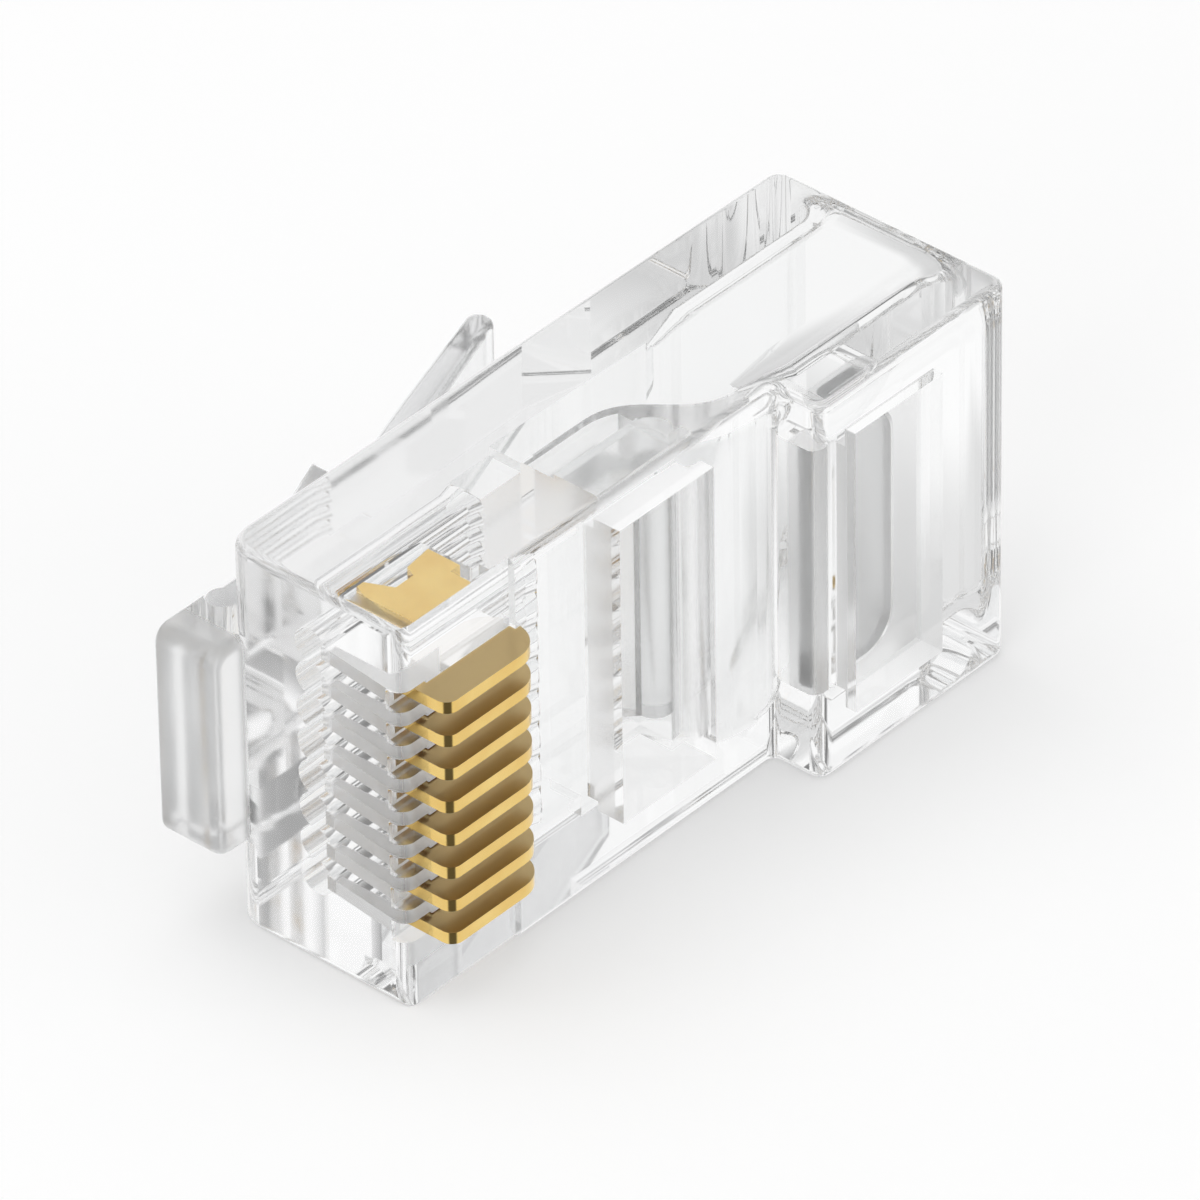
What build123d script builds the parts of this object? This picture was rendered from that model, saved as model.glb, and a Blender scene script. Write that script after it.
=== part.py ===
from build123d import *
import os

# Driving dimensions, in millimetres.
# "along" is measured from the nose face towards the cable end, "depth" from the latch-side face
# towards the contact side, and "across" from the side face that the plug stands on.

# Body
body_width = 11.68
body_length = 21.0
nose_thickness = 6.1
rear_thickness = 7.7
step_along = 13.65
bay_along = 4.0
bay_drop = 0.2
nose_round = 0.9
contact_corner_round = 0.4
step_round = 0.4
step_root_round = 0.25
rear_round = 0.45
side_edge_round = 0.25

# Wire channels, one for each conductor
contact_count = 8
contact_pitch = 1.016
wire_channel_diameter = 1.05
wire_channel_start = 0.95
wire_channel_end = 6.15
wire_channel_mouth = 0.4
wire_channel_mouth_widening = 0.1
latch_wall = 2.03

# Contact blades, as stamped
blade_thickness = 0.35
blade_top = 6.9
blade_front = 0.6
blade_rear = 4.2
blade_front_round = 0.35
blade_rear_round = 0.9
blade_shoulder = 5.25
blade_rear_shoulder = 5.5
blade_neck_rear = 3.6
blade_heel = 4.35
blade_foot_front = 1.32
blade_foot_rear = 3.95
blade_bevel_start = 4.2
blade_bevel_along = 1.53
blade_bevel_end = 3.29
blade_tooth_along = 1.68
blade_tooth_width = 0.2
blade_tooth_tip = 2.97
blade_notch_front = 2.24
blade_notch_rear = 2.9
blade_notch = 3.76
blade_rear_tooth_along = 3.05
blade_rear_tooth_start = 3.42
blade_rear_tooth_tip = 3.3
blade_side_gap = 0.03
blade_end_gap = 0.05
blade_travel = 0.75
slot_nose_depth = 5.4
slot_lean_top = 0.3
slot_lean_foot = 1.14
nose_notch_width = 0.6
nose_notch_end = 0.95

# Cable cavity: a flat space for the conductors, then a taller one for the jacket
side_wall = 1.1
cavity_width = body_width - 2 * side_wall
conductor_space_start = 7.65
funnel_start = 10.0
funnel_end = 13.5
funnel_floor = 2.1
funnel_roof = 5.15
funnel_corner_round = 0.3
jacket_space_start = 15.3
jacket_space_floor = 1.35
jacket_space_roof = 5.55
jacket_space_round = 0.95
mouth_round = 0.75

# Front window and the conductor anchor in it
front_window_along = 7.9
front_window_length = 3.55
front_window_ledge = 0.2
front_window_width = cavity_width - 2 * front_window_ledge
front_window_floor = 3.95
anchor_end_slit = 0.8
anchor_end_ledge = 0.3
anchor_width = front_window_width - 2 * (anchor_end_slit + anchor_end_ledge)
anchor_gap = 0.06
anchor_knuckle_radius = 0.5
anchor_knuckle_along = 11.0
anchor_knuckle_depth = 4.45
anchor_neck = 0.5

# Rear window and the jacket anchor in it
rear_window_along = 15.0
rear_window_length = 3.4
rear_window_ledge = 0.4
rear_window_width = cavity_width - 2 * rear_window_ledge
rear_window_floor = 6.83
tongue_length = 2.3
tongue_end_margin = 0.64
tongue_width = rear_window_width - 2 * tongue_end_margin
tongue_corner_round = 1.0
tongue_gap = 0.1
tongue_thickness = 0.63
tongue_hinge_round = 0.3

# Latch: root block ahead of the nose, hinge, wide arm and narrow tail
latch_width = 6.2
latch_tail_width = 3.2
latch_root_width = 6.4
latch_root_reach = 1.15
latch_root_depth = 0.72
latch_rise = 1.3
latch_root_round = 0.5
latch_root_outer_round = 0.15
latch_root_inner_round = 0.35
latch_knuckle_along = 0.95
latch_knuckle_radius = 0.45
latch_knuckle_gap = 0.04
latch_bend_along = 2.1
latch_shoulder_along = 6.7
latch_shoulder_rise = 3.1
latch_shoulder_thickness = 1.15
latch_shoulder_step = 0.25
latch_tail_along = 11.67
latch_tail_rise = 4.55
latch_tail_thickness = 0.95
latch_tip_along = 15.85
latch_tip_rise = 5.87
latch_tip_thickness = 0.8
latch_tip_round = 0.36
latch_edge_round = 0.2

middle_across = body_width / 2
overshoot = 1.0


def spot(along, depth):
    """A point of the side view, with the origin under the middle of the body."""
    return (along - body_length / 2, rear_thickness / 2 - depth)


def profile(points):
    """A closed face of the side view from (along, depth) corners."""
    return make_face(Polyline(*[spot(along, depth) for along, depth in points], close=True))


def slab(face, width, across=middle_across):
    """A side-view face given a width, centred at a height across the plug."""
    return Pos(0, 0, across - width / 2) * extrude(face, amount=width, dir=(0, 0, 1))


def block(along, length, depth, height, width, across=middle_across):
    """A box by its front end, length, lowest depth and height, centred across the plug."""
    corners = [(along, depth), (along + length, depth)]
    corners += [(along + length, depth + height), (along, depth + height)]
    return slab(profile(corners), width, across)


def round_corner(face, along, depth, radius):
    """Round the corner of a side-view face that lies nearest to a point."""
    corner = face.vertices().sort_by_distance(Vector(*spot(along, depth)))[0]
    return fillet(corner, radius)


def rounded_rims(part, radius):
    """Round the edges round the two side faces of a slab."""
    sides = part.faces().sort_by(Axis.Z)
    return fillet(sides[0].edges() + sides[-1].edges(), radius)


def contact_heights():
    """The height across the plug of each contact, from the lowest to the highest."""
    lowest = middle_across - contact_pitch * (contact_count - 1) / 2
    return [lowest + contact_pitch * index for index in range(contact_count)]


def outer_body():
    """The moulded outline: a thin front half, a thicker rear half, and the lowered contact bay."""
    side = profile([
        (0, 0),
        (body_length, 0),
        (body_length, rear_thickness),
        (step_along, rear_thickness),
        (step_along, nose_thickness),
        (0, nose_thickness),
    ])
    side = round_corner(side, 0, 0, nose_round)
    side = round_corner(side, body_length, 0, rear_round)
    side = round_corner(side, body_length, rear_thickness, rear_round)
    side = round_corner(side, step_along, rear_thickness, step_round)
    side = round_corner(side, step_along, nose_thickness, step_root_round)
    body = slab(side, body_width)
    body = rounded_rims(body, side_edge_round)
    bay_depth = nose_thickness - bay_drop
    keep = profile([
        (-overshoot, -overshoot),
        (bay_along, -overshoot),
        (bay_along, bay_depth),
        (0, bay_depth),
        (0, bay_depth - 2 * contact_corner_round),
        (-overshoot, bay_depth - 2 * contact_corner_round),
    ])
    keep = round_corner(keep, 0, bay_depth, contact_corner_round)
    length = bay_along + overshoot
    height = nose_thickness + 2 * overshoot
    front = block(-overshoot, length, -overshoot, height, 2 * body_width)
    return body - (front - slab(keep, 2 * body_width))


def latch_root():
    """The block ahead of the nose from which the latch grows."""
    knuckle_depth = latch_knuckle_radius - latch_rise
    side = profile([
        (-latch_root_reach, latch_root_depth),
        (-latch_root_reach, -latch_rise),
        (latch_knuckle_along, -latch_rise),
        (latch_knuckle_along, 0),
        (nose_round, nose_round),
        (0, nose_round),
        (0, latch_root_depth),
    ])
    root = slab(side, latch_root_width)
    root = fillet(root.faces().sort_by(Axis.X)[0].edges().filter_by(Axis.Y), latch_root_round)
    upright = root.faces().sort_by(Axis.X)[0].edges().filter_by(Axis.Z).sort_by(Axis.Y)[-1]
    root = fillet(upright, latch_root_outer_round)
    upright = root.faces().sort_by(Axis.X)[0].edges().filter_by(Axis.Z).sort_by(Axis.Y)[0]
    root = fillet(upright, latch_root_inner_round)
    centre = Pos(*spot(latch_knuckle_along, knuckle_depth))
    socket = slab(centre * Circle(latch_knuckle_radius + latch_knuckle_gap), 2 * latch_width)
    height = latch_rise + overshoot
    under = block(latch_knuckle_along, overshoot, -height, height, 2 * latch_width)
    return root - socket - under


def wire_channels():
    """The eight round channels that lead the conductors under the blades, each with a wider mouth."""
    radius = wire_channel_diameter / 2
    wide = radius + wire_channel_mouth_widening
    mouth_along = wire_channel_end - wire_channel_mouth
    from_front = (Align.CENTER, Align.CENTER, Align.MIN)
    bore = Cylinder(radius, wire_channel_end - wire_channel_start, align=from_front)
    cone = Cone(radius, wide, wire_channel_mouth, align=from_front)
    channels = []
    for height in contact_heights():
        x, y = spot(wire_channel_start, latch_wall + radius)
        channels.append(Pos(x, y, height) * Rot(0, 90, 0) * bore)
        x, y = spot(mouth_along, latch_wall + radius)
        channels.append(Pos(x, y, height) * Rot(0, 90, 0) * cone)
    return channels


def channel_entry():
    """The flat space behind the channels, as wide as the row of channels."""
    width = contact_pitch * (contact_count - 1) + wire_channel_diameter
    length = conductor_space_start - wire_channel_end
    return block(wire_channel_end, length, latch_wall, wire_channel_diameter, width)


def blade_slots():
    """The slots that hold the blades, open to the face and down to the channels."""
    width = blade_thickness + 2 * blade_side_gap
    lower = blade_tooth_tip - blade_travel - blade_end_gap
    rear_shoulder = blade_rear_shoulder - blade_travel - blade_end_gap
    side = profile([
        (-overshoot, slot_nose_depth),
        (slot_lean_top, slot_nose_depth),
        (slot_lean_foot, lower),
        (blade_foot_rear + blade_end_gap, lower),
        (blade_foot_rear + blade_end_gap, rear_shoulder),
        (blade_rear + blade_end_gap, rear_shoulder),
        (blade_rear + blade_end_gap, nose_thickness + overshoot),
        (-overshoot, nose_thickness + overshoot),
    ])
    return [slab(side, width, height) for height in contact_heights()]


def nose_notches():
    """The wider notches in the nose that let the jack's wires on to the blades."""
    side = profile([
        (-overshoot, slot_nose_depth),
        (nose_notch_end, slot_nose_depth),
        (nose_notch_end, nose_thickness + overshoot),
        (-overshoot, nose_thickness + overshoot),
    ])
    return [slab(side, nose_notch_width, height) for height in contact_heights()]


def cavity_section(along, floor, roof, width, rounding):
    """A rounded section of the cable cavity, square to the plug's length."""
    x, y = spot(along, (floor + roof) / 2)
    plane = Plane(origin=(x, y, middle_across), x_dir=(0, 1, 0), z_dir=(1, 0, 0))
    return plane * RectangleRounded(roof - floor, width, rounding)


def conductor_space():
    """The flat space behind the wire channels, with its roof curving up towards the jacket."""
    channel_top = latch_wall + wire_channel_diameter
    roof = Spline(
        spot(funnel_start, channel_top),
        spot((funnel_start + funnel_end) / 2, (channel_top + funnel_roof) / 2),
        spot(funnel_end, funnel_roof),
        tangents=((1, 0), (1, 0)),
    )
    outline = Polyline(
        spot(funnel_end, funnel_roof),
        spot(funnel_end, funnel_floor),
        spot(funnel_start, latch_wall),
        spot(conductor_space_start, latch_wall),
        spot(conductor_space_start, channel_top),
        spot(funnel_start, channel_top),
    )
    return slab(make_face(roof.edges() + outline.edges()), cavity_width)


def jacket_space():
    """The taller space for the cable's jacket."""
    joint = cavity_section(funnel_end, funnel_floor, funnel_roof, cavity_width, funnel_corner_round)
    floor = jacket_space_floor
    roof = jacket_space_roof
    start = cavity_section(jacket_space_start, floor, roof, cavity_width, jacket_space_round)
    tube = extrude(start, amount=body_length - jacket_space_start, dir=(1, 0, 0))
    return [loft([joint, start]), tube]


def rounded_mouth(body):
    """The body with the inner edge of its cable mouth rounded like a bell."""
    rear_face = body.faces().sort_by(Axis.X)[-1]
    return fillet(rear_face.inner_wires()[0].edges(), mouth_round)


def anchor_knuckle(extra):
    """The round hinge of the conductor anchor, with some clearance added."""
    centre = Pos(*spot(anchor_knuckle_along, anchor_knuckle_depth))
    return centre * Circle(anchor_knuckle_radius + extra)


def front_window():
    """The recess over the conductor anchor and the opening that the anchor closes."""
    rear = front_window_along + front_window_length
    recess_side = profile([
        (front_window_along, nose_thickness + overshoot),
        (front_window_along, front_window_floor),
        (anchor_knuckle_along, front_window_floor),
        (anchor_knuckle_along, anchor_knuckle_depth + anchor_knuckle_radius + anchor_gap),
        (rear, anchor_knuckle_depth + anchor_knuckle_radius + anchor_gap),
        (rear, nose_thickness + overshoot),
    ])
    recess = slab(recess_side, front_window_width)
    open_width = anchor_width + 2 * anchor_end_slit
    low = latch_wall + wire_channel_diameter / 2
    through_side = profile([
        (front_window_along, low),
        (anchor_knuckle_along, low),
        (anchor_knuckle_along, nose_thickness),
        (front_window_along, nose_thickness),
    ])
    through = slab(through_side + anchor_knuckle(anchor_gap), open_width)
    return [recess, through]


def conductor_anchor():
    """The flap that is pressed down on the conductors."""
    channel_top = latch_wall + wire_channel_diameter
    front = front_window_along + anchor_gap
    top = anchor_knuckle_depth + anchor_knuckle_radius
    neck_along = anchor_knuckle_along - anchor_knuckle_radius * anchor_neck
    neck_depth = anchor_knuckle_depth - anchor_knuckle_radius * (1 - anchor_neck ** 2) ** 0.5
    side = profile([
        (front, channel_top),
        (front, front_window_floor),
        (anchor_knuckle_along - 2 * anchor_knuckle_radius, front_window_floor),
        (anchor_knuckle_along, top),
        (neck_along, neck_depth),
        (anchor_knuckle_along - anchor_knuckle_radius, channel_top),
    ])
    return slab(side + anchor_knuckle(0), anchor_width)


def tongue_outline(extra):
    """The tongue seen from the contact side, drawn lying at its inner face."""
    length = tongue_length + 2 * extra
    width = tongue_width + 2 * extra
    x, y = spot(rear_window_along + tongue_gap - extra, rear_window_floor)
    plane = Plane(origin=(x, y, middle_across), x_dir=(1, 0, 0), z_dir=(0, 1, 0))
    face = plane * Rectangle(length, width, align=(Align.MIN, Align.CENTER))
    corners = face.vertices().sort_by(Axis.X)[2:]
    return fillet(corners, tongue_corner_round + extra)


def rear_window():
    """The recess over the jacket anchor and the opening round its tongue."""
    recess = block(
        rear_window_along,
        rear_window_length,
        rear_window_floor,
        rear_thickness - rear_window_floor + overshoot,
        rear_window_width,
    )
    opening_depth = rear_window_floor - funnel_roof
    opening = extrude(tongue_outline(tongue_gap), amount=opening_depth, dir=(0, 1, 0))
    return [recess, opening]


def jacket_anchor():
    """The tongue that is pressed down on the jacket, with its round hinge at the front."""
    tongue = extrude(tongue_outline(0), amount=tongue_thickness, dir=(0, 1, 0))
    hinge_edges = tongue.edges().filter_by(Axis.Z).sort_by(Axis.X)[:2]
    return fillet(hinge_edges, tongue_hinge_round)


def housing():
    """The clear moulding with everything cut into it."""
    body = rounded_mouth(outer_body() - jacket_space())
    body = body + latch_root()
    body = body - wire_channels()
    body = body - channel_entry()
    body = body - blade_slots()
    body = body - nose_notches()
    body = body - conductor_space()
    body = body - front_window()
    return body - rear_window()


def latch():
    """The lever: knuckle, wide arm with two shoulders, and the narrow tail."""
    knuckle_depth = latch_knuckle_radius - latch_rise
    root_inner = 2 * latch_knuckle_radius - latch_rise
    shoulder_inner = latch_shoulder_thickness - latch_shoulder_rise
    arm = profile([
        (latch_knuckle_along, -latch_rise),
        (latch_bend_along, -latch_rise),
        (latch_shoulder_along, -latch_shoulder_rise),
        (latch_shoulder_along, shoulder_inner),
        (latch_bend_along, root_inner),
        (latch_knuckle_along, root_inner),
    ])
    knuckle = Pos(*spot(latch_knuckle_along, knuckle_depth)) * Circle(latch_knuckle_radius)
    tail = profile([
        (latch_bend_along, root_inner),
        (latch_shoulder_along, latch_shoulder_step - latch_shoulder_rise),
        (latch_tail_along, -latch_tail_rise),
        (latch_tip_along, -latch_tip_rise),
        (latch_tip_along, latch_tip_thickness - latch_tip_rise),
        (latch_tail_along, latch_tail_thickness - latch_tail_rise),
        (latch_shoulder_along, shoulder_inner),
    ])
    tail = round_corner(tail, latch_tip_along, -latch_tip_rise, latch_tip_round)
    tail = round_corner(tail, latch_tip_along, latch_tip_thickness - latch_tip_rise, latch_tip_round)
    wide = rounded_rims(slab(arm, latch_width), latch_edge_round)
    narrow = rounded_rims(slab(tail, latch_tail_width), latch_edge_round)
    return wide + narrow + slab(knuckle, latch_width)


def contact_blade(height):
    """One stamped blade: the contact edge on top, the two teeth below."""
    side = profile([
        (blade_front, blade_shoulder),
        (blade_front, blade_top),
        (blade_rear, blade_top),
        (blade_rear, blade_rear_shoulder),
        (blade_neck_rear, blade_rear_shoulder),
        (blade_neck_rear, blade_heel),
        (blade_foot_rear, blade_heel),
        (blade_foot_rear, blade_rear_tooth_tip),
        (blade_rear_tooth_along, blade_rear_tooth_start),
        (blade_notch_rear, blade_notch),
        (blade_notch_front, blade_notch),
        (blade_tooth_along + blade_tooth_width, blade_tooth_tip),
        (blade_tooth_along, blade_tooth_tip),
        (blade_bevel_along, blade_bevel_end),
        (blade_foot_front, blade_bevel_start),
        (blade_foot_front, blade_shoulder),
    ])
    side = round_corner(side, blade_front, blade_top, blade_front_round)
    side = round_corner(side, blade_rear, blade_top, blade_rear_round)
    return slab(side, blade_thickness, height)


def main():
    os.makedirs("parts", exist_ok=True)
    nodes = {
        "housing": housing(),
        "latch": latch(),
        "conductor_anchor": conductor_anchor(),
        "jacket_anchor": jacket_anchor(),
    }
    for index, height in enumerate(contact_heights()):
        nodes[f"contact_blade_{index + 1}"] = contact_blade(height)
    for name, shape in nodes.items():
        export_step(shape, f"parts/{name}.step")


main()
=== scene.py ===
# %% [markdown]
# # A clear modular network plug, dressed in Blender
# The plug is a small clear moulding that holds eight gold-plated contact blades. It stands on one of its two
# side faces, so the row of contacts runs upwards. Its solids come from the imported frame, in metres. This lesson
# gives them their plastic and their gold, a pale stage, soft lamps, and a camera at the photograph's angle.

import bpy
from mathutils import Matrix, Vector


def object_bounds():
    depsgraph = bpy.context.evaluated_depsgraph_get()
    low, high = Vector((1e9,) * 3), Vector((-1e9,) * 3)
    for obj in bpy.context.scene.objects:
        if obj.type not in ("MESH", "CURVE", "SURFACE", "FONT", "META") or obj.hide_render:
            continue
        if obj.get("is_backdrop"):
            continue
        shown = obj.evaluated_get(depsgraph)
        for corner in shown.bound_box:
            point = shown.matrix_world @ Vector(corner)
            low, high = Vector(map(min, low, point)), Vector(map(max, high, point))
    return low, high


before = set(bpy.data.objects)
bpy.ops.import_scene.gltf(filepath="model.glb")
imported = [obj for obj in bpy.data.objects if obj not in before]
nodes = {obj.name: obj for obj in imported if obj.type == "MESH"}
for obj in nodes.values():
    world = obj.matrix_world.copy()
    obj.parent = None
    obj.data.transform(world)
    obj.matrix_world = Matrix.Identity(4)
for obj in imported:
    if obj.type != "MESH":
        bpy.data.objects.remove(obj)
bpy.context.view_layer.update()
scene = bpy.context.scene
MM = 0.001
print("nodes:", sorted(nodes))

# %% [markdown]
# ## Camera
# The photograph was taken with a long lens from high on the nose side, so the contacts, the top side face and the
# nose all show. A long lens keeps the parallel edges nearly parallel. The camera could be aimed with a tracking
# constraint, but three direction vectors written into a matrix say exactly the same thing and keep the slight roll.

# %% Place the camera
LENS = 427.5
SENSOR = 36.0
CLIP_START = 0.01
CLIP_END = 50.0
CAMERA_PLACE = Vector((-0.21475, -0.19068, 0.21809))
CAMERA_RIGHT = Vector((0.65835, -0.75261, -0.01264))
CAMERA_DOWN = Vector((-0.45420, -0.38382, -0.80398))
CAMERA_FORWARD = Vector((0.60023, 0.53504, -0.59452))
lens = bpy.data.cameras.new("photo_camera")
lens.lens = LENS
lens.sensor_width = SENSOR
lens.clip_start = CLIP_START
lens.clip_end = CLIP_END
camera = bpy.data.objects.new("photo_camera", lens)
turn = Matrix((CAMERA_RIGHT, -CAMERA_DOWN, -CAMERA_FORWARD)).transposed()
camera.matrix_world = Matrix.Translation(CAMERA_PLACE) @ turn.to_4x4()
scene.collection.objects.link(camera)
scene.camera = camera
print("camera looks along", [round(part, 3) for part in CAMERA_FORWARD])

# %% [markdown]
# ## Helpers for node trees
# A material is a tree of nodes, and the same few steps build every tree: open an empty one, add a node in its place
# on the sheet with its options, and feed a socket with a number or with another node. Written once as helpers, they
# leave the cells below as a list of what each tree holds.

# %% Open a tree, add a node, feed a socket
def new_material(name):
    material = bpy.data.materials.new(name)
    material.use_nodes = True
    material.node_tree.nodes.clear()
    return material


def add_node(tree, kind, place, **settings):
    node = tree.nodes.new(kind)
    node.location = place
    for key, value in settings.items():
        setattr(node, key, value)
    return node


def feed(tree, value, socket):
    if isinstance(value, bpy.types.NodeSocket):
        tree.links.new(value, socket)
    else:
        socket.default_value = value


print("helpers for nodes:", [helper.__name__ for helper in (new_material, add_node, feed)])


# %% [markdown]
# Four more helpers cover what the trees below do most. One joins two numbers, by their product or by taking the
# larger or the smaller. One turns a range of numbers into another range, along a soft curve unless told otherwise.
# One makes a white source of a given strength, and one takes the first of two shaders unless a test picks the second.

# %% Numbers and choices
def combine(tree, operation, values, place, clamp=False):
    node = add_node(tree, "ShaderNodeMath", place, operation=operation, use_clamp=clamp)
    for value, socket in zip(values, node.inputs):
        feed(tree, value, socket)
    return node.outputs[0]


def turn_range(tree, value, span, levels, place, curve="SMOOTHSTEP"):
    node = add_node(tree, "ShaderNodeMapRange", place, interpolation_type=curve)
    for name, number in zip(("From Min", "From Max", "To Min", "To Max"), (*span, *levels)):
        node.inputs[name].default_value = number
    tree.links.new(value, node.inputs["Value"])
    return node.outputs["Result"]


def white_source(tree, kind, strength, place):
    shader = add_node(tree, kind, place)
    shader.inputs["Color"].default_value = (1.0, 1.0, 1.0, 1.0)
    feed(tree, strength, shader.inputs["Strength"])
    return shader.outputs[0]


def choose(tree, test, otherwise, chosen, place):
    mix = add_node(tree, "ShaderNodeMixShader", place)
    tree.links.new(test, mix.inputs["Fac"])
    tree.links.new(otherwise, mix.inputs[1])
    tree.links.new(chosen, mix.inputs[2])
    return mix.outputs["Shader"]


WHOLE = (0.0, 1.0)
print("helpers for values:", [helper.__name__ for helper in (combine, turn_range, white_source, choose)])

# %% [markdown]
# ## A group that picks out one place
# Two steps below need to know where a point lies: the floor has greyer places, and some faces of the mould are not
# polished. A soft box answers both. It gives 1 well inside its two corners, 0 outside them, and a slope just inside
# its sides, so that a place fades out instead of ending at a hard line.

# %% Open a group with its sockets
def new_group(name, inputs, outputs):
    group = bpy.data.node_groups.new(name, "ShaderNodeTree")
    for label, kind, value in inputs:
        socket = group.interface.new_socket(name=label, in_out="INPUT", socket_type=kind)
        if value is not None:
            socket.default_value = value
    for label in outputs:
        group.interface.new_socket(name=label, in_out="OUTPUT", socket_type="NodeSocketFloat")
    taken = add_node(group, "NodeGroupInput", (-900, 0))
    given = add_node(group, "NodeGroupOutput", (700, 0))
    print(name, "takes", [label for label, kind, value in inputs], "and gives", outputs)
    return group, taken, given


# %% The soft box group
EDGE_SLOPE = 0.1 * MM
soft_box, taken, given = new_group(
    "soft_box",
    [
        ("Vector", "NodeSocketVector", None),
        ("Low", "NodeSocketVector", None),
        ("High", "NodeSocketVector", None),
        ("Slope", "NodeSocketFloat", EDGE_SLOPE),
    ],
    ["Mask"],
)
past_low = add_node(soft_box, "ShaderNodeVectorMath", (-600, 150), operation="SUBTRACT")
past_high = add_node(soft_box, "ShaderNodeVectorMath", (-600, -150), operation="SUBTRACT")
nearer = add_node(soft_box, "ShaderNodeVectorMath", (-400, 0), operation="MINIMUM")
steps = add_node(soft_box, "ShaderNodeVectorMath", (-200, 0), operation="DIVIDE")
parts = add_node(soft_box, "ShaderNodeSeparateXYZ", (0, 0))
soft_box.links.new(taken.outputs["Vector"], past_low.inputs[0])
soft_box.links.new(taken.outputs["Low"], past_low.inputs[1])
soft_box.links.new(taken.outputs["High"], past_high.inputs[0])
soft_box.links.new(taken.outputs["Vector"], past_high.inputs[1])
soft_box.links.new(past_low.outputs["Vector"], nearer.inputs[0])
soft_box.links.new(past_high.outputs["Vector"], nearer.inputs[1])
soft_box.links.new(nearer.outputs["Vector"], steps.inputs[0])
soft_box.links.new(taken.outputs["Slope"], steps.inputs[1])
soft_box.links.new(steps.outputs["Vector"], parts.inputs["Vector"])
smaller = combine(soft_box, "MINIMUM", (parts.outputs["X"], parts.outputs["Y"]), (250, 0))
smallest = combine(soft_box, "MINIMUM", (smaller, parts.outputs["Z"]), (450, 0), clamp=True)
soft_box.links.new(smallest, given.inputs["Mask"])
print("soft box fades over", EDGE_SLOPE / MM, "mm unless told otherwise")

# %% [markdown]
# ## The room
# Clear plastic has hardly any colour of its own: what it shows is the room, bent and folded by its walls. The
# photograph's room is white on the latch side, behind the plug, and grey on the contact side, in front of it. Light
# Path tells the world who is asking. The lens gets plain white, and light that went through plastic gets the room's
# greys. A reflection gets a bright front and a darker back, which gives the gold its depth, and matt surfaces get an
# even fill.

# %% Brightness that rises towards one side
BACK = (0.75, 0.66, 0.0)


def towards(tree, vector, side, span, levels, place):
    x, y = place
    along = add_node(tree, "ShaderNodeVectorMath", (x, y), operation="DOT_PRODUCT")
    along.inputs[1].default_value = side
    tree.links.new(vector, along.inputs[0])
    return turn_range(tree, along.outputs["Value"], span, levels, (x + 200, y))


print("the back of the room lies along", BACK)

# %% The world behind gloss and glass
FILL_LEVEL = 0.5
ROOM_SIDE = (0.35, 0.94, 0.0)
ROOM_SPAN = (-0.6, 0.3)
ROOM_LEVELS = (0.15, 1.0)
MIRROR_SPAN = (-0.2, 0.6)
MIRROR_LEVELS = (0.95, 0.35)
world = bpy.data.worlds.new("studio")
scene.world = world
world.use_nodes = True
tree = world.node_tree
tree.nodes.clear()
rays = add_node(tree, "ShaderNodeLightPath", (100, 500)).outputs
way = add_node(tree, "ShaderNodeTexCoord", (-500, -100)).outputs["Generated"]
room_level = towards(tree, way, ROOM_SIDE, ROOM_SPAN, ROOM_LEVELS, (-300, -100))
mirror_level = towards(tree, way, BACK, MIRROR_SPAN, MIRROR_LEVELS, (-300, -350))
for_lens = white_source(tree, "ShaderNodeBackground", 1.0, (700, 150))
for_matt = white_source(tree, "ShaderNodeBackground", FILL_LEVEL, (400, 50))
for_glass = white_source(tree, "ShaderNodeBackground", room_level, (400, -100))
for_gloss = white_source(tree, "ShaderNodeBackground", mirror_level, (400, -300))
answer = choose(tree, rays["Is Glossy Ray"], for_matt, for_gloss, (600, -100))
answer = choose(tree, rays["Is Transmission Ray"], answer, for_glass, (750, -100))
answer = choose(tree, rays["Is Camera Ray"], answer, for_lens, (900, 0))
output = add_node(tree, "ShaderNodeOutputWorld", (1100, 0))
tree.links.new(answer, output.inputs["Surface"])
print("room for glass: from", ROOM_LEVELS[0], "in front to", ROOM_LEVELS[1], "behind")

# %% [markdown]
# ## The floor
# The floor is a pale matt sheet that catches the plug's soft shadow. For the lens it has a little glow added, so
# that it is white without more light on the plug. Seen through the plastic it shows painted light and shade: it
# is painted greyer ahead of the plug, as if lit from behind, and has two faint patches of painted shade, the plug's
# own shadow under it and shade behind the cable end that darkens the rear windows. Real studios use grey cards for
# the same end: without them, a clear thing in a white room has no edges.

# %% Painted shade on the floor, seen through the plastic
# Patches of painted shade: the plug's painted shadow under it, and painted shade behind the cable end.
UNDER_PLUG = ((-15.0, -9.5), (15.0, 9.5), 6.0, 0.93)
REAR_PAINTED_SHADE = ((6.0, -6.0), (17.5, 10.0), 4.0, 0.76)
ANY_HEIGHT = 1.0


def painted_shade_patch(tree, vector, patch, place):
    low, high, slope, level = patch
    x, y = place
    mark = add_node(tree, "ShaderNodeGroup", (x, y), node_tree=soft_box)
    mark.inputs["Low"].default_value = [part * MM for part in low] + [-ANY_HEIGHT]
    mark.inputs["High"].default_value = [part * MM for part in high] + [ANY_HEIGHT]
    mark.inputs["Slope"].default_value = slope * MM
    tree.links.new(vector, mark.inputs["Vector"])
    return turn_range(tree, mark.outputs["Mask"], WHOLE, (1.0, level), (x + 200, y))


for low, high, slope, level in (UNDER_PLUG, REAR_PAINTED_SHADE):
    print("greyer place from", low, "to", high, "mm, down to", level)

# %% [markdown]
# The blades are mirrors, so their rounded front corners need something dark to reflect. A dark patch is painted
# on the floor ahead of the contact corner and spreads like a fan from it: a painted reflection that only reflections
# see. A real sheet there would throw a shadow and show through the plastic.

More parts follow.
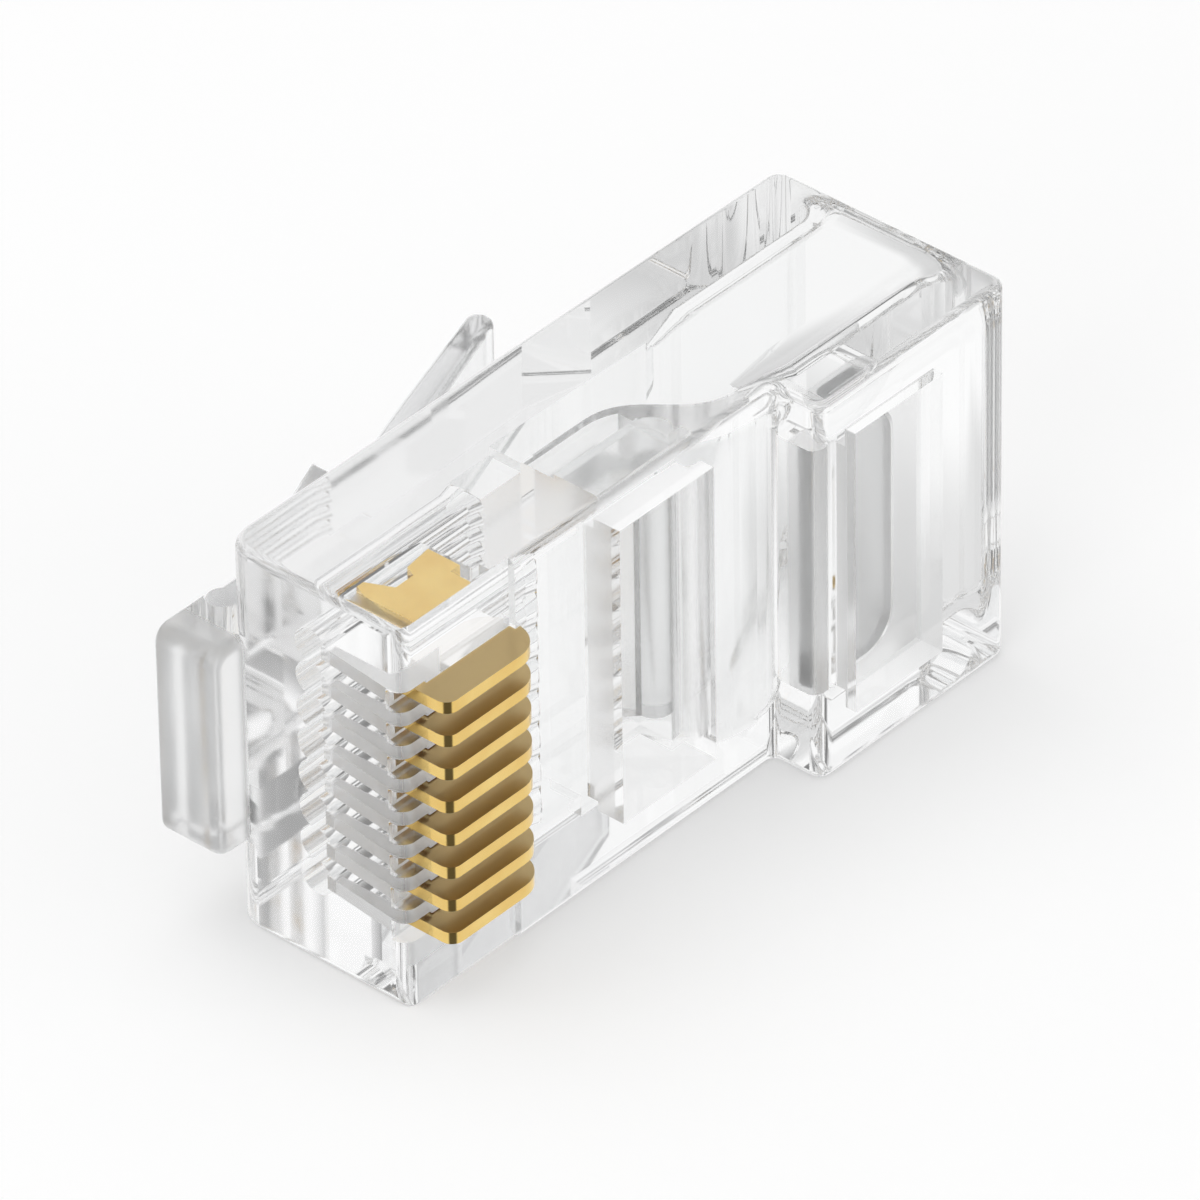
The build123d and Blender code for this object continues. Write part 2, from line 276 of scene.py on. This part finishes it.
# %% A painted dark reflection ahead of the contact corner
DARK_PATCH_CORNER = (-0.0099, -0.0030, 0.0)
DARK_PATCH_SIDE = (-0.665, -0.747, 0.0)
DARK_PATCH_SPAN = (0.72, 0.90)
DARK_PATCH_LEVELS = (0.95, 0.12)


def painted_dark_patch(tree, vector, place):
    x, y = place
    from_corner = add_node(tree, "ShaderNodeVectorMath", (x, y), operation="SUBTRACT")
    from_corner.inputs[1].default_value = DARK_PATCH_CORNER
    heading = add_node(tree, "ShaderNodeVectorMath", (x + 150, y), operation="NORMALIZE")
    tree.links.new(vector, from_corner.inputs[0])
    tree.links.new(from_corner.outputs["Vector"], heading.inputs[0])
    return towards(tree, heading.outputs["Vector"], DARK_PATCH_SIDE, DARK_PATCH_SPAN, DARK_PATCH_LEVELS, (x + 300, y))


print("in reflections the sheet has", DARK_PATCH_LEVELS[0], "and the card", DARK_PATCH_LEVELS[1])

# %% The floor sheet and its three answers
FLOOR_SIZE = 4.0
FLOOR_DROP = 0.02 * MM
FLOOR_SHADE = 0.55
FLOOR_GLOW = 0.45
FLOOR_SPAN = (-20.0 * MM, -4.0 * MM)
FLOOR_LEVELS = (0.40, 1.0)
bpy.ops.mesh.primitive_plane_add(size=FLOOR_SIZE, location=(0.0, 0.0, -FLOOR_DROP))
floor = bpy.context.object
floor.name = "floor"
paper = new_material("white_floor")
tree = paper.node_tree
rays = add_node(tree, "ShaderNodeLightPath", (-500, 200)).outputs
spot = add_node(tree, "ShaderNodeTexCoord", (-500, -300)).outputs["Object"]
matt = add_node(tree, "ShaderNodeBsdfDiffuse", (150, 100))
matt.inputs["Color"].default_value = (FLOOR_SHADE, FLOOR_SHADE, FLOOR_SHADE, 1.0)
glow_level = combine(tree, "MULTIPLY", (rays["Is Camera Ray"], FLOOR_GLOW), (0, -50))
lifted = add_node(tree, "ShaderNodeAddShader", (450, 0))
tree.links.new(matt.outputs["BSDF"], lifted.inputs[0])
tree.links.new(white_source(tree, "ShaderNodeEmission", glow_level, (150, -100)), lifted.inputs[1])
# Painted dark reflection: the patch ahead of the contact corner, seen only in reflections.
gloss_level = painted_dark_patch(tree, spot, (-500, -600))
# Through the plastic the floor has a painted fall of light, darker ahead of the plug, times its painted shade
# patches.
sheet_level = towards(tree, spot, BACK, FLOOR_SPAN, FLOOR_LEVELS, (-300, -300))
under = painted_shade_patch(tree, spot, UNDER_PLUG, (-300, -900))
behind = painted_shade_patch(tree, spot, REAR_PAINTED_SHADE, (-300, -1100))
places = combine(tree, "MULTIPLY", (under, behind), (100, -900))
glass_level = combine(tree, "MULTIPLY", (sheet_level, places), (250, -300))
for_glass = white_source(tree, "ShaderNodeEmission", glass_level, (450, -200))
for_gloss = white_source(tree, "ShaderNodeEmission", gloss_level, (450, -400))
answer = choose(tree, rays["Is Glossy Ray"], lifted.outputs["Shader"], for_gloss, (600, 150))
answer = choose(tree, rays["Is Transmission Ray"], answer, for_glass, (750, 0))
output = add_node(tree, "ShaderNodeOutputMaterial", (900, 0))
tree.links.new(answer, output.inputs["Surface"])
floor.data.materials.append(paper)
floor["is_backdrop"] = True
print("floor in glass: from", FLOOR_LEVELS[0], "ahead of the plug to", FLOOR_LEVELS[1], "behind it")

# %% [markdown]
# ## Lamps
# Three soft panels stand for studio boxes: a large one above, one on the nose side and one on the contact side.
# Large, near panels give soft shadows. They are hidden from gloss and glass, because the room's greys already
# stand for what the plastic and the gold reflect, and a lamp's own image would be a hard white patch.

# %% Soft panels
MIDDLE = Vector((0.0, 0.0, 0.006))
PANELS = {
    "top_panel": ((-0.05, 0.10, 0.45), (0.40, 0.40), 1.0),
    "nose_panel": ((-0.40, -0.10, 0.25), (0.25, 0.30), 0.4),
    "contact_panel": ((0.20, -0.40, 0.15), (0.30, 0.20), 0.3),
}
for name, (place, (width, height), power) in PANELS.items():
    light = bpy.data.lights.new(name, "AREA")
    light.shape = "RECTANGLE"
    light.size = width
    light.size_y = height
    light.energy = power
    lamp = bpy.data.objects.new(name, light)
    lamp.location = place
    lamp.rotation_euler = (MIDDLE - Vector(place)).to_track_quat("-Z", "Y").to_euler()
    lamp.visible_glossy = False
    lamp.visible_transmission = False
    scene.collection.objects.link(lamp)
    print(name, "of", power, "W at", place)

# %% [markdown]
# ## A group for what every surface shares
# Nothing made is quite even. Moulded plastic keeps slow waves from its flow, plating is a touch thicker here and
# there, and both pick up fine hairlines. These effects sit in one shader group with named inputs, built once and
# placed in each material with its own values.

# %% Noise of a given detail
def noise(tree, vector, scale, detail, place):
    node = add_node(tree, "ShaderNodeTexNoise", place)
    node.inputs["Detail"].default_value = detail
    tree.links.new(vector, node.inputs["Vector"])
    tree.links.new(scale, node.inputs["Scale"])
    return node.outputs["Fac"]


CLOUD_DETAIL = 3.0
WAVE_DETAIL = 1.0
LINE_DETAIL = 4.0
print("detail of clouds, waves and hairlines:", CLOUD_DETAIL, WAVE_DETAIL, LINE_DETAIL)

# %% The uneven surface group
LINE_STRETCH = (0.06, 1.0, 1.0)
LINE_SPAN = (0.52, 0.75)
uneven, taken, given = new_group(
    "uneven_surface",
    [
        ("Vector", "NodeSocketVector", None),
        ("Cloud Scale", "NodeSocketFloat", 220.0),
        ("Wave Scale", "NodeSocketFloat", 350.0),
        ("Line Scale", "NodeSocketFloat", 900.0),
    ],
    ["Clouds", "Waves", "Hairlines"],
)
vector = taken.outputs["Vector"]
stretch = add_node(uneven, "ShaderNodeMapping", (-600, -300))
stretch.inputs["Scale"].default_value = LINE_STRETCH
uneven.links.new(vector, stretch.inputs["Vector"])
clouds = noise(uneven, vector, taken.outputs["Cloud Scale"], CLOUD_DETAIL, (-300, 250))
waves = noise(uneven, vector, taken.outputs["Wave Scale"], WAVE_DETAIL, (-300, 0))
lines = noise(uneven, stretch.outputs["Vector"], taken.outputs["Line Scale"], LINE_DETAIL, (-300, -300))
hairlines = turn_range(uneven, lines, LINE_SPAN, WHOLE, (0, -300), "LINEAR")
for value, label in ((clouds, "Clouds"), (waves, "Waves"), (hairlines, "Hairlines")):
    uneven.links.new(value, given.inputs[label])
print("hairlines are stretched", round(1.0 / LINE_STRETCH[0], 1), "times along the plug")

# %% [markdown]
# Plastic and gold start alike: clouds shift the colour between a deeper and a paler tone, hairlines dull the polish,
# and the result goes into one Principled shader. Two helpers build that start and that end, so that each material
# below shows only what is its own.

# %% The start and the end of a finish
TONE_STOPS = (0.3, 0.7)


def start_finish(tree, deep, pale, polish, scales):
    place = add_node(tree, "ShaderNodeTexCoord", (-900, 0)).outputs
    surface = add_node(tree, "ShaderNodeGroup", (-650, 0), node_tree=uneven)
    for label, scale in scales.items():
        surface.inputs[label].default_value = scale
    tones = add_node(tree, "ShaderNodeValToRGB", (-350, 250))
    for stop, position, colour in zip(tones.color_ramp.elements, TONE_STOPS, (deep, pale)):
        stop.position = position
        stop.color = (*colour, 1.0)
    tree.links.new(place["Object"], surface.inputs["Vector"])
    tree.links.new(surface.outputs["Clouds"], tones.inputs["Fac"])
    rough = turn_range(tree, surface.outputs["Hairlines"], WHOLE, polish, (-350, 0), "LINEAR")
    return place, surface.outputs, tones.outputs["Color"], rough


def end_finish(tree, colour, rough, height, strength, depth):
    relief = add_node(tree, "ShaderNodeBump", (200, -300))
    relief.inputs["Strength"].default_value = strength
    relief.inputs["Distance"].default_value = depth
    shader = add_node(tree, "ShaderNodeBsdfPrincipled", (500, 0))
    output = add_node(tree, "ShaderNodeOutputMaterial", (800, 0))
    tree.links.new(height, relief.inputs["Height"])
    tree.links.new(relief.outputs["Normal"], shader.inputs["Normal"])
    tree.links.new(colour, shader.inputs["Base Color"])
    tree.links.new(rough, shader.inputs["Roughness"])
    tree.links.new(shader.outputs["BSDF"], output.inputs["Surface"])
    return shader


print("tones change between", TONE_STOPS[0], "and", TONE_STOPS[1], "of the clouds")

# %% [markdown]
# ## Clear plastic
# The housing, latch and strain-relief flaps are polished polycarbonate: clear, glossy and strongly refracting.
# Glass with the real index gives its bright edges and its mirror-like inner faces. Some places keep the grain of
# their mould inserts and look softer and greyer: the block ahead of the nose, the walls of the contact slots, the
# floors of both windows and, faintly, the latch-side wall. A soft box puts the grain at each. The grain could be
# modelled as fine relief, but roughness scatters light just as well and costs no faces.

# %% Polycarbonate with its own polish and grain
INDEX = 1.585
DEEPER = 0.99
WAVE_STRENGTH = 1.0
WAVE_HEIGHT = 0.002 * MM


def clear_plastic(name, tint, polish, zones):
    material = new_material(name)
    tree = material.node_tree
    deep = [part * DEEPER for part in tint]
    place, surface, colour, rough = start_finish(tree, deep, tint, polish, {})
    for row, (low, high, grain) in enumerate(zones):
        y = -250 * row
        zone = add_node(tree, "ShaderNodeGroup", (-650, y - 300), node_tree=soft_box)
        zone.inputs["Low"].default_value = [part * MM for part in low]
        zone.inputs["High"].default_value = [part * MM for part in high]
        tree.links.new(place["Object"], zone.inputs["Vector"])
        grained = combine(tree, "MULTIPLY", (zone.outputs["Mask"], grain), (-350, y - 300))
        rough = combine(tree, "MAXIMUM", (rough, grained), (-100, y - 50))
    body = end_finish(tree, colour, rough, surface["Waves"], WAVE_STRENGTH, WAVE_HEIGHT)
    body.inputs["Transmission Weight"].default_value = 1.0
    body.inputs["IOR"].default_value = INDEX
    print(name, "tint", tint, "roughness", polish, "grained zones", len(zones))
    return material


# %% [markdown]
# Each zone is written as two corners in millimetres and the roughness between them. The housing has all five, the
# flaps share the two of their windows, and the latch is a little dull all over, as a thin and often flexed part is.

# %% Three plastics from one recipe
BLOCK_AHEAD = ((-13.0, -1.0, 0.0), (-10.5, 7.0, 13.0), 0.30)
LATCH_WALL = ((-10.4, 3.70, 0.0), (-2.0, 4.0, 13.0), 0.05)
SLOT_WALLS = ((-10.45, -2.2, 1.2), (-9.0, 0.7, 10.5), 0.36)
FRONT_WINDOW = ((-2.7, -1.6, 1.2), (4.3, 0.6, 10.5), 0.20)
REAR_WINDOW = ((4.3, -3.2, 1.2), (8.1, -2.2, 10.5), 0.34)
housing_plastic = clear_plastic(
    "clear_polycarbonate", (0.985, 0.988, 0.988), (0.01, 0.04),
    [BLOCK_AHEAD, LATCH_WALL, SLOT_WALLS, FRONT_WINDOW, REAR_WINDOW])
latch_plastic = clear_plastic("latch_polycarbonate", (0.99, 0.995, 0.998), (0.20, 0.25), [])
flap_plastic = clear_plastic(
    "flap_polycarbonate", (0.98, 0.984, 0.984), (0.01, 0.05), [FRONT_WINDOW, REAR_WINDOW])

# %% [markdown]
# ## Gold plating
# The blades are stamped from copper alloy sheet and plated with a thin layer of gold. A metal needs only its
# colour and its roughness. Hairlines run along the blades, where the strip was drawn through the press, and slow
# clouds shift the colour a little between a pale and a deeper gold. Where a blade stands out of its slot, its broad
# sheared sides are duller than its bright edge, so they get more roughness, and a darker, greyer colour that is
# painted shade. The mask for them comes from the direction that a face looks in and from how far out it lies.

# %% A mask for the duller sides that stand out, which also places their painted shade
SIDE_SPAN = (-1.0 * MM, -2.2 * MM)
SIDE_LEVELS = (0.0, 0.9)


def dull_and_shaded_sides(tree, place):
    facing = add_node(tree, "ShaderNodeSeparateXYZ", (-650, -450))
    spot = add_node(tree, "ShaderNodeSeparateXYZ", (-650, -650))
    tree.links.new(place["Normal"], facing.inputs["Vector"])
    tree.links.new(place["Object"], spot.inputs["Vector"])
    steep = combine(tree, "ABSOLUTE", (facing.outputs["Z"],), (-450, -450))
    outside = turn_range(tree, spot.outputs["Y"], SIDE_SPAN, SIDE_LEVELS, (-350, -650))
    return combine(tree, "MULTIPLY", (steep, outside), (-100, -500))


print("greyer sides begin", [round(-part / MM, 1) for part in SIDE_SPAN], "mm out towards the contacts")

# %% Gold
GOLD_DEEP = (0.82, 0.55, 0.17)
GOLD_PALE = (0.90, 0.66, 0.24)
GOLD_POLISH = (0.12, 0.20)
GOLD_SCALES = {"Cloud Scale": 900.0, "Line Scale": 6000.0}
# The sides' colour below is painted shade, darker and greyer; their roughness is the real duller sheared finish.
SIDE_PAINTED_SHADE = (0.61, 0.46, 0.24, 1.0)
SIDE_ROUGHNESS = 0.34
LINE_STRENGTH = 0.4
LINE_DEPTH = 0.002 * MM
gold = new_material("gold_plating")
tree = gold.node_tree
place, surface, bright, rough = start_finish(tree, GOLD_DEEP, GOLD_PALE, GOLD_POLISH, GOLD_SCALES)
side = dull_and_shaded_sides(tree, place)
# Painted shade: the side mask darkens the gold where a face looks up or down.
colour = add_node(tree, "ShaderNodeMix", (150, 250), data_type="RGBA")
colour.inputs["B"].default_value = SIDE_PAINTED_SHADE
tree.links.new(side, colour.inputs["Factor"])
tree.links.new(bright, colour.inputs["A"])
satin = turn_range(tree, side, WHOLE, (0.0, SIDE_ROUGHNESS), (150, -50), "LINEAR")
rough = combine(tree, "MAXIMUM", (rough, satin), (330, -50))
metal = end_finish(
    tree, colour.outputs["Result"], rough, surface["Hairlines"], LINE_STRENGTH, LINE_DEPTH)
metal.inputs["Metallic"].default_value = 1.0
print("gold nodes:", len(tree.nodes))

# %% [markdown]
# ## Dress the solids
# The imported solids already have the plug's true shape, with its roundings, windows and slots. Each keeps its mesh
# and gets the material of its part: the blades gold, the rest one of the three plastics.

# %% One material for each node
def material_for(name):
    if name.startswith("contact_blade"):
        return gold
    if name == "latch":
        return latch_plastic
    if name.endswith("anchor"):
        return flap_plastic
    return housing_plastic


for name, node in nodes.items():
    node.data.materials.clear()
    node.data.materials.append(material_for(name))
    print(name, len(node.data.polygons), "faces in", node.data.materials[0].name)

# %% [markdown]
# ## Light inside the plastic
# A ray that enters clear plastic at a slant can be trapped there, thrown from wall to wall before it finds a way
# out. With too few bounces it ends as a black patch that no real plug has, so gloss and glass get many.

# %% Bounces
BOUNCES = 64
scene.cycles.max_bounces = BOUNCES
scene.cycles.glossy_bounces = BOUNCES
scene.cycles.transmission_bounces = BOUNCES
print("bounces:", BOUNCES)

# %% [markdown]
# ## Finish
# The picture keeps its plain colours, and the size of what Blender shows is printed.

# %% View, sizes and finish
scene.view_settings.view_transform = "Standard"
low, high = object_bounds()
print("what Blender shows measures", [round((top - base) / MM, 2) for base, top in zip(low, high)], "mm")
